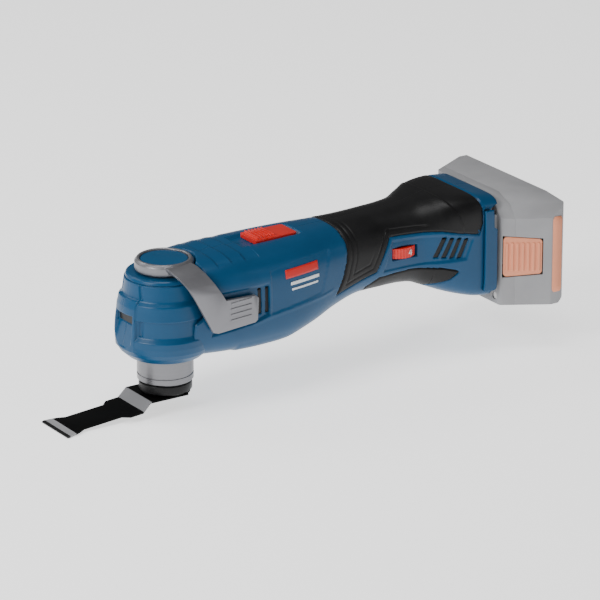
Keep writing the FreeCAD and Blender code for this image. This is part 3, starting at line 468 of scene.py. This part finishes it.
def makeHead(name, side):
    # half a turning of the profile round the spindle's axis: x = r cos(turn), y = r sin(turn)
    h = headSizes
    knots = np.array(h["profile"])
    run = np.concatenate([[0], np.cumsum(np.hypot(*np.diff(knots, axis=0).T))])
    along = np.unique(np.concatenate([run, np.linspace(0, run[-1], 150)]))
    radius, height = np.interp(along, run, knots[:, 0]), np.interp(along, run, knots[:, 1])
    turns = np.linspace(np.pi, np.pi * (1 - h["sweep"] * side), 150)
    r, turn = np.meshgrid(radius, turns, indexing="ij")
    z = np.repeat(height[:, None], len(turns), axis=1)
    x, y = r * np.cos(turn), r * np.sin(turn)
    onNose = x < 0
    # the raised band fades over 0.8 mm at its sides, which lean in towards the top
    halfBand = h["bandHalf"] - 0.03 * (z - h["bandLow"])
    rise = 1 - ease(halfBand - 0.3, halfBand + 0.4, np.abs(y))
    rise = rise * band(h["bandLow"], h["bandHigh"], 0.8, z) * onNose
    smoothR = np.interp(z, [18, 27, 37, 46, 58, 64, 78], [34.0, 34.2, 34.9, 34.4, 33.0, 31.4, 27])
    r = r * (1 - rise) + smoothR * rise
    # a slot on each side of the nose in the top tier, and a deeper one beside the band in the third
    upperSlot = band(11.4, 13.4, 0.5, np.abs(y) + 0.25 * (z - 66)) * band(64.2, 74.0, 0.6, z)
    lowerSlot = band(13.4, 16.2, 0.5, np.abs(y)) * band(39.2, 50.2, 0.5, z)
    r = r - (1.1 * upperSlot + 1.5 * lowerSlot) * onNose * (1 - rise)
    # lamp window and the scoop below it: the nose is cut back to a sloping face
    cutHeights = [h["scoopLow"], h["lampLow"] - 0.4, h["lampLow"], h["lampHigh"], h["lampHigh"] + 0.3]
    cutX = np.interp(z, cutHeights, [33.9, 29.8, h["lampBack"], h["lampBack"], 40])
    cutX = np.where(z < h["scoopLow"], 40, cutX)
    inScoop = 1 - ease(h["scoopHalf"] - 0.5, h["scoopHalf"] + 0.5, np.abs(y))
    x, y = r * np.cos(turn), r * np.sin(turn)
    x = np.where(onNose, x * (1 - inScoop) + np.maximum(x, -cutX) * inScoop, x)
    points = np.stack([x, y, z], axis=-1)
    piece = surface(name, points, "housing", "blue_shell", flip=side > 0)
    thicken(piece, h["wall"])


makeHead("headRight", -1)
makeHead("headLeft", 1)
print("head made")

# rubber: the grip over the top and sides, and the belly pad, bonded into the shell
gripSizes = {
    "front": [(43, 121), (56, 127), (68, 130.5), (78, 131.5), (86, 130), (90, 127)],
    "lower": [(121, 43), (156.5, 52.5), (159, 57), (163, 66), (166.5, 74.2), (169.5, 76), (207, 74.5),
              (233, 69), (237.2, 70.5), (239, 76)],
    "start": 121.0, "back": 239.0, "grooveDepth": 0.55, "grooveWidth": 0.5, "wall": 1.5,
}


def makeGrip(name, side, replaces):
    # the body's own surface from the pad's lower edge up to the top line, leaning at its front edge
    g = gripSizes
    lowX, lowZ = np.array(g["lower"]).T
    columns = np.unique(np.concatenate([np.linspace(g["start"], g["back"], 190), lowX]))
    share = np.linspace(0, 1, 96)
    nominal, t = np.meshgrid(columns, share, indexing="ij")
    start = turnAtHeight(columns, np.interp(columns, lowX, lowZ), side)[:, None]
    turn = start + t * (np.pi / 2 - start)
    height = bodyPoint(nominal, turn, side)[..., 2]
    frontZ, frontX = np.array(g["front"]).T
    shift = np.interp(height, frontZ, frontX) - g["start"]
    u = (nominal - g["start"]) / (g["back"] - g["start"])
    x = nominal + shift * (1 - u) ** 3
    x = x - 3.0 * ease(86, 95, height) * u ** 6
    points = bodyPoint(x, turn, side)
    normal = outwardNormals(points, 62)
    px, pz = points[..., 0], points[..., 2]
    inside = -outlineDistance(outlines["grip"], px, pz)
    # rounded border that ends in the shell's groove, then contour lines that follow it
    depth = 0.25 - 0.9 * (1 - ease(0, 1.4, inside))
    lineA = np.exp(-((inside - 4.6) / g["grooveWidth"]) ** 2) * (1 - ease(196, 200, px))
    lineA = lineA * (1 - ease(92, 96, pz))
    lineB = np.exp(-((inside - 8.6) / g["grooveWidth"]) ** 2) * (1 - ease(150, 156, px)) * ease(50, 56, pz)
    depth = depth - g["grooveDepth"] * (lineA + 0.8 * lineB)
    # a soft swelling ends in a crease before the foot
    crease = np.interp(pz, [68, 76, 86, 96], [222, 222.5, 219, 212])
    depth = depth + 0.5 * ease(-8, 0, px - crease) * (1 - ease(0, 1.0, px - crease))
    points = points + normal * depth[..., None]
    piece = surface(name, points, "housing", "grip_rubber", flip=side < 0, replaces=replaces)
    thicken(piece, g["wall"])


bellySizes = {
    "front": 150.6, "back": 219.5, "wall": 1.3,
    "top": [(150, 42), (160, 48), (185, 49.5), (209, 47.6), (216, 46), (221, 44)],
    "low": [(150, 15), (198, 15), (203, 33), (214, 38), (221, 43.8)],
}


def makeBelly(name, side):
    # the body's own surface between two lines of turns: shares of the way from the low line to the top line
    e = bellySizes
    columns = np.linspace(e["front"], e["back"], 120)
    topX, topZ = np.array(e["top"]).T
    lowX, lowZ = np.array(e["low"]).T
    lowTurn = turnAtHeight(columns, np.interp(columns, lowX, lowZ), side)
    highTurn = turnAtHeight(columns, np.interp(columns, topX, topZ), side)
    t = np.linspace(0, 1, 60)
    turn = lowTurn[:, None] + t[None, :] * (highTurn - lowTurn)[:, None]
    x = np.repeat(columns[:, None], len(t), axis=1)
    points = bodyPoint(x, turn, side)
    normal = outwardNormals(points, 62)
    inside = -outlineDistance(outlines["belly"], points[..., 0], points[..., 2])
    points = points + normal * (0.15 - 0.8 * (1 - ease(0, 1.4, inside)))[..., None]
    piece = surface(name, points, "housing", "grip_rubber", flip=side < 0)
    thicken(piece, e["wall"])


makeGrip("gripRight", -1, ["grip_right"])
makeGrip("gripLeft", 1, ["grip_left"])
makeBelly("bellyRight", -1)
makeBelly("bellyLeft", 1)
print("rubber made")

# patches that follow the body's side: a grid of side-view places laid on the surface
def sidePatch(name, x, z, side, inset, depth, body, slotName, material=None):
    # each (x, z) is carried out to the body's surface, less the inset, then given a wall
    turn = turnAtHeight(x, z, side)
    points = bodyPoint(x, turn, side, inset)
    piece = surface(name, points, body, slotName, material, flip=side > 0)
    thicken(piece, depth)


def quadGrid(corners, rows=14, cols=14):
    # bilinear blend of four corners: low front, low rear, high rear, high front
    u, v = np.meshgrid(np.linspace(0, 1, rows), np.linspace(0, 1, cols), indexing="ij")
    (a, b, c, d) = np.array(corners, float)
    grid = (a * ((1 - u) * (1 - v))[..., None] + b * (u * (1 - v))[..., None]
            + c * (u * v)[..., None] + d * ((1 - u) * v)[..., None])
    return grid[..., 0], grid[..., 1]


# sizes of the black plates in the air slots, which are painted shade
slotShadeSizes = {
    "frontInset": 2.7, "frontLow": 45.0, "frontHigh": 64.4, "rearInset": 2.3, "depth": 0.8, "margin": 0.2,
}


def makeSlotShadePlates():
    # a black plate at the bottom of each air slot, a margin wider than the slot all round: painted shade,
    # standing in for the dark inside of the open slot
    d, r = slotShadeSizes, rearVents
    m = d["margin"]
    for side, label in ((-1, "Right"), (1, "Left")):
        for i, (low, high) in enumerate(frontVents["slots"]):
            x, z = quadGrid([(low - m, d["frontLow"]), (high + m, d["frontLow"]),
                             (high + m, d["frontHigh"]), (low - m, d["frontHigh"])])
            name = f"frontVent{label}{i + 1}"
            sidePatch(name, x, z, side, d["frontInset"], d["depth"], "housing", "black_plastic")
        for i in range(r["count"]):
            start = r["first"] + r["pitch"] * i
            low, high = rearVentEnds(i)
            x, z = quadGrid([(start - m, low - m), (start + r["width"] + m, low - m),
                             (start + r["width"] + m, high + m), (start - m, high + m)])
            x = x + r["lean"] * (z - r["middle"])
            name = f"rearVent{label}{i + 1}"
            sidePatch(name, x, z, side, d["rearInset"], d["depth"], "housing", "black_plastic")


makeSlotShadePlates()

# label: plain bars in the sunk panel, with no words
labelBars = [  # front x, rear x, low z, high z, which look
    (75.5, 103.5, 66.4, 72.6, "labelRed"),
    (79.5, 104.0, 61.2, 63.4, "labelWhite"),
    (80.5, 103.0, 57.4, 58.8, "labelWhite"),
]
labelLooks = {
    "labelRed": finish("labelRed", (0.55, 0.012, 0.008), 0.35, tint=0.05, gloss=0.4),
    "labelWhite": finish("labelWhite", (0.72, 0.74, 0.76), 0.4, tint=0.04, gloss=0.4),
}


def makeLabel():
    # each bar is a leaning rectangle, its rear end lifted by a share of its length
    for i, (front, rear, low, high, look) in enumerate(labelBars):
        lift = 0.045 * (rear - front)
        x, z = quadGrid([(front, low), (rear, low + lift), (rear, high + lift), (front, high)], 30, 6)
        sidePatch(f"labelBar{i + 1}", x, z, -1, 0.30, 0.3, "housing", "blue_shell", labelLooks[look])


makeLabel()
print("vents and label made")


# the rail pocket in the foot, its cover on the pack, and small trim
pocketSizes = {"cut": 236.6, "skinFrom": 0.97, "drawIn": 0.955, "rearFrom": 246.0, "rearGap": 0.4}


def makePocket(nodeName):
    # the CAD foot behind a plane, with its outer skin scaled towards the section's middle, under the shell
    k = pocketSizes
    piece = bpy.data.objects.new(nodeName + "Pocket", bpy.data.objects[nodeName].data.copy())
    bpy.context.scene.collection.objects.link(piece)
    work = bmesh.new()
    work.from_mesh(piece.data)
    bmesh.ops.remove_doubles(work, verts=work.verts, dist=1e-6)
    everything = work.verts[:] + work.edges[:] + work.faces[:]
    cut = (k["cut"] * mm, 0, 0)
    bmesh.ops.bisect_plane(work, geom=everything, plane_co=cut, plane_no=(1, 0, 0), clear_inner=True)
    bmesh.ops.holes_fill(work, edges=[e for e in work.edges if e.is_boundary])
    work.to_mesh(piece.data)
    work.free()
    flat = np.empty(len(piece.data.vertices) * 3)
    piece.data.vertices.foreach_get("co", flat)
    x, y, z = flat.reshape(-1, 3).T / mm
    half, low, top, power = sectionAt(x)
    middle, b = (low + top) / 2, (top - low) / 2
    ratio = ((np.abs(y) / half) ** power + (np.abs(z - middle) / b) ** power) ** (1 / power)
    shrink = np.where(ratio > k["skinFrom"], k["drawIn"], 1.0)
    x = np.where(x > k["rearFrom"], np.minimum(x, rearEdge(z) - k["rearGap"]), x)
    moved = np.stack([x, y * shrink, middle + (z - middle) * shrink], axis=-1) * mm
    piece.data.vertices.foreach_set("co", moved.ravel())
    piece.data.update()
    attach(piece, "housing")


def makeRailCover():
    # a plate on the pack's rail that closes the window in the foot's near side, following its surface
    w = railWindow
    z = np.linspace(w["low"] + w["gap"], w["high"] - w["gap"], 90)
    share = np.linspace(0, 1, 16)
    zz = np.repeat(z[None, :], len(share), axis=0)
    front = w["front"] + w["gap"]
    xx = front + share[:, None] * (rearEdge(zz) - front)
    sidePatch("railCover", xx, zz, -1, 0.0, w["cover"], "battery", "blue_shell")


stripeSizes = {
    "front": 284.8, "back": 292.6, "y": -57.9, "low": 22.0, "length": 56.0, "corner": 1.2, "wall": 0.8,
}


def makeStripe():
    # a coral inlay near the rear edge of the pack's near end, narrower at both ends by an eased inset
    e = stripeSizes
    t = np.linspace(0, 1, 30)
    inset = e["corner"] * (1 - ease(0, 0.04, t)) + e["corner"] * ease(0.96, 1, t)
    x = np.stack([e["front"] + inset, e["back"] - inset], axis=-1)
    z = np.repeat((e["low"] + e["length"] * t)[:, None], 2, axis=1)
    points = np.stack([x, np.full(x.shape, e["y"]), z], axis=-1)
    thicken(surface("packStripe", points, "battery", "pack_button"), e["wall"])


dialSizes = {"x": 180.0, "y": -15.8, "radius": 13.06, "start": 3.2, "base": 61.0, "height": 4.2,
             "inkDepth": 0.25}


def makeNumeral():
    # three strokes wrapped round the dial's rim: angle = distance along the rim / radius
    d = dialSizes
    h = d["height"]
    strokes = [
        [(0.45, 0), (1.0, 0), (1.0, h), (0.45, h)],
        [(-1.6, 0.28 * h), (1.7, 0.28 * h), (1.7, 0.42 * h), (-1.6, 0.42 * h)],
        [(-1.6, 0.42 * h), (-1.0, 0.42 * h), (1.0, h), (0.4, h)],
    ]
    for i, corners in enumerate(strokes):
        along, up = quadGrid(corners, 6, 6)
        angle = (along + d["start"]) / d["radius"]
        x = d["x"] + d["radius"] * np.sin(angle)
        y = d["y"] - d["radius"] * np.cos(angle)
        points = np.stack([x, y, d["base"] + up], axis=-1)
        stroke = surface(f"dialNumeral{i + 1}", points, "dial", "red_plastic", labelLooks["labelWhite"])
        thicken(stroke, d["inkDepth"])


screwSizes = {
    "spots": [(48, 76.5), (102, 30), (106, 79), (155, 43), (160, 80.5), (221, 87), (221, 30)],
    "shadeWell": [(4.0, -0.5), (3.9, 0.2), (3.5, 0.25), (3.2, -0.1), (3.1, -0.3), (0.02, -0.3)],
    "head": [(2.8, -0.3), (2.8, 0.0), (2.5, 0.15), (1.3, 0.15), (1.1, -0.2), (0.02, -0.2)],
}


def makeScrewEyes():
    # each is a profile (radius, height above the surface) turned about the surface's own normal
    # the black well round each steel head is painted shade, standing in for the dark of a deep screw hole
    rings = {"Well": (screwSizes["shadeWell"], "black_plastic"), "Head": (screwSizes["head"], "screw_steel")}
    turns = np.linspace(0, 2 * np.pi, 41)[:-1]
    for i, (sx, sz) in enumerate(screwSizes["spots"]):
        x = np.array([sx, sx + 0.5, sx], float)
        z = np.array([sz, sz, sz + 0.5], float)
        p = bodyPoint(x, turnAtHeight(x, z, 1), 1)
        a = (p[1] - p[0]) / np.linalg.norm(p[1] - p[0])
        normal = np.cross(p[2] - p[0], a)
        normal /= np.linalg.norm(normal)
        normal *= np.sign(normal[1])
        b = np.cross(normal, a)
        for part, (profile, slotName) in rings.items():
            radius, lift = np.array(profile).T
            across = np.cos(turns)[:, None, None] * a + np.sin(turns)[:, None, None] * b
            points = p[0] + across * radius[None, :, None] + normal * lift[None, :, None]
            surface(f"screw{part}{i + 1}", points, "housing", slotName, closeU=True)


makePocket("housing_right")
makePocket("housing_left")
makeRailCover()
makeStripe()
makeNumeral()
makeScrewEyes()
print("trim made")

# copies of CAD parts with their edges rounded over
roundings = {
    "clamping_lever": 0.7, "slide_switch": 0.5, "release_button": 0.5, "battery_rail_shell": 0.9,
    "battery_cover": 1.4, "tool_holder": 0.25, "blade": 0.12, "lever_cap": 0.4,
}
for nodeName, width in roundings.items():
    roundedCopy(nodeName, width)
print("rounded copies made:", len(roundings))

# floor, light and camera
viewSizes = {
    "azimuth": -33.22, "elevation": 20.08, "distance": 2930.0, "lens": 252.6,
    "target": (130.0, 0.0, 45.0), "aside": (16.71, -14.469),
    "floor": -21.0, "floorHalf": 4.0, "floorGlow": 1.15, "worldLight": 0.16,
}


def makeStage():
    v = viewSizes
    mesh = bpy.data.meshes.new("floor")
    half, low = v["floorHalf"], v["floor"] * mm
    corners = [(-half, -half, low), (half, -half, low), (half, half, low), (-half, half, low)]
    mesh.from_pydata(corners, [], [(0, 1, 2, 3)])
    floor = bpy.data.objects.new("floor", mesh)
    bpy.context.scene.collection.objects.link(floor)
    pale = finish("paleFloor", (0.80, 0.80, 0.80), 0.9, tint=0.005, tintScale=3, bump=0.0, gloss=0.1)
    shader = pale.node_tree.nodes["Principled BSDF"]
    shader.inputs["Emission Color"].default_value = (1, 1, 1, 1)
    shader.inputs["Emission Strength"].default_value = v["floorGlow"]
    mesh.materials.append(pale)
    world = bpy.data.worlds.new("studio")
    bpy.context.scene.world = world
    world.use_nodes = True
    sky = world.node_tree.nodes["Background"]
    sky.inputs["Color"].default_value = (1, 1, 1, 1)
    sky.inputs["Strength"].default_value = v["worldLight"]
    lights = [("key", (-1.5, -0.25, 1.0), 0.8, 24.0), ("top", (-0.1, -0.1, 1.8), 0.9, 14.0),
              ("back", (-0.7, 1.4, 1.3), 0.9, 9.0), ("side", (1.2, -1.3, 0.7), 0.4, 1.2)]
    for name, place, size, power in lights:
        lamp = bpy.data.lights.new(name, "AREA")
        lamp.energy = power
        lamp.size = size
        holder = bpy.data.objects.new(name, lamp)
        holder.location = place
        aim = np.array([0.12, 0, 0.04]) - np.array(place)
        holder.rotation_mode = "QUATERNION"
        holder.rotation_quaternion = Vector(aim).to_track_quat("-Z", "Y")
        bpy.context.scene.collection.objects.link(holder)


def makeCamera():
    # back is the unit vector from the target to the camera; the aim is moved aside to frame the tool
    v = viewSizes
    az, el = math.radians(v["azimuth"]), math.radians(v["elevation"])
    back = np.array([math.sin(az) * math.cos(el), -math.cos(az) * math.cos(el), math.sin(el)])
    right = np.cross(-back, [0, 0, 1])
    right /= np.linalg.norm(right)
    up = np.cross(right, -back)
    aim = np.array(v["target"]) - right * v["aside"][0] + up * v["aside"][1]
    camera = bpy.data.objects.new("camera", bpy.data.cameras.new("camera"))
    camera.data.lens = v["lens"]
    camera.data.clip_end = 50
    camera.location = (aim + back * v["distance"]) * mm
    camera.rotation_mode = "QUATERNION"
    camera.rotation_quaternion = Vector(-back).to_track_quat("-Z", "Y")
    bpy.context.scene.collection.objects.link(camera)
    bpy.context.scene.camera = camera


makeStage()
makeCamera()
print("stage made")
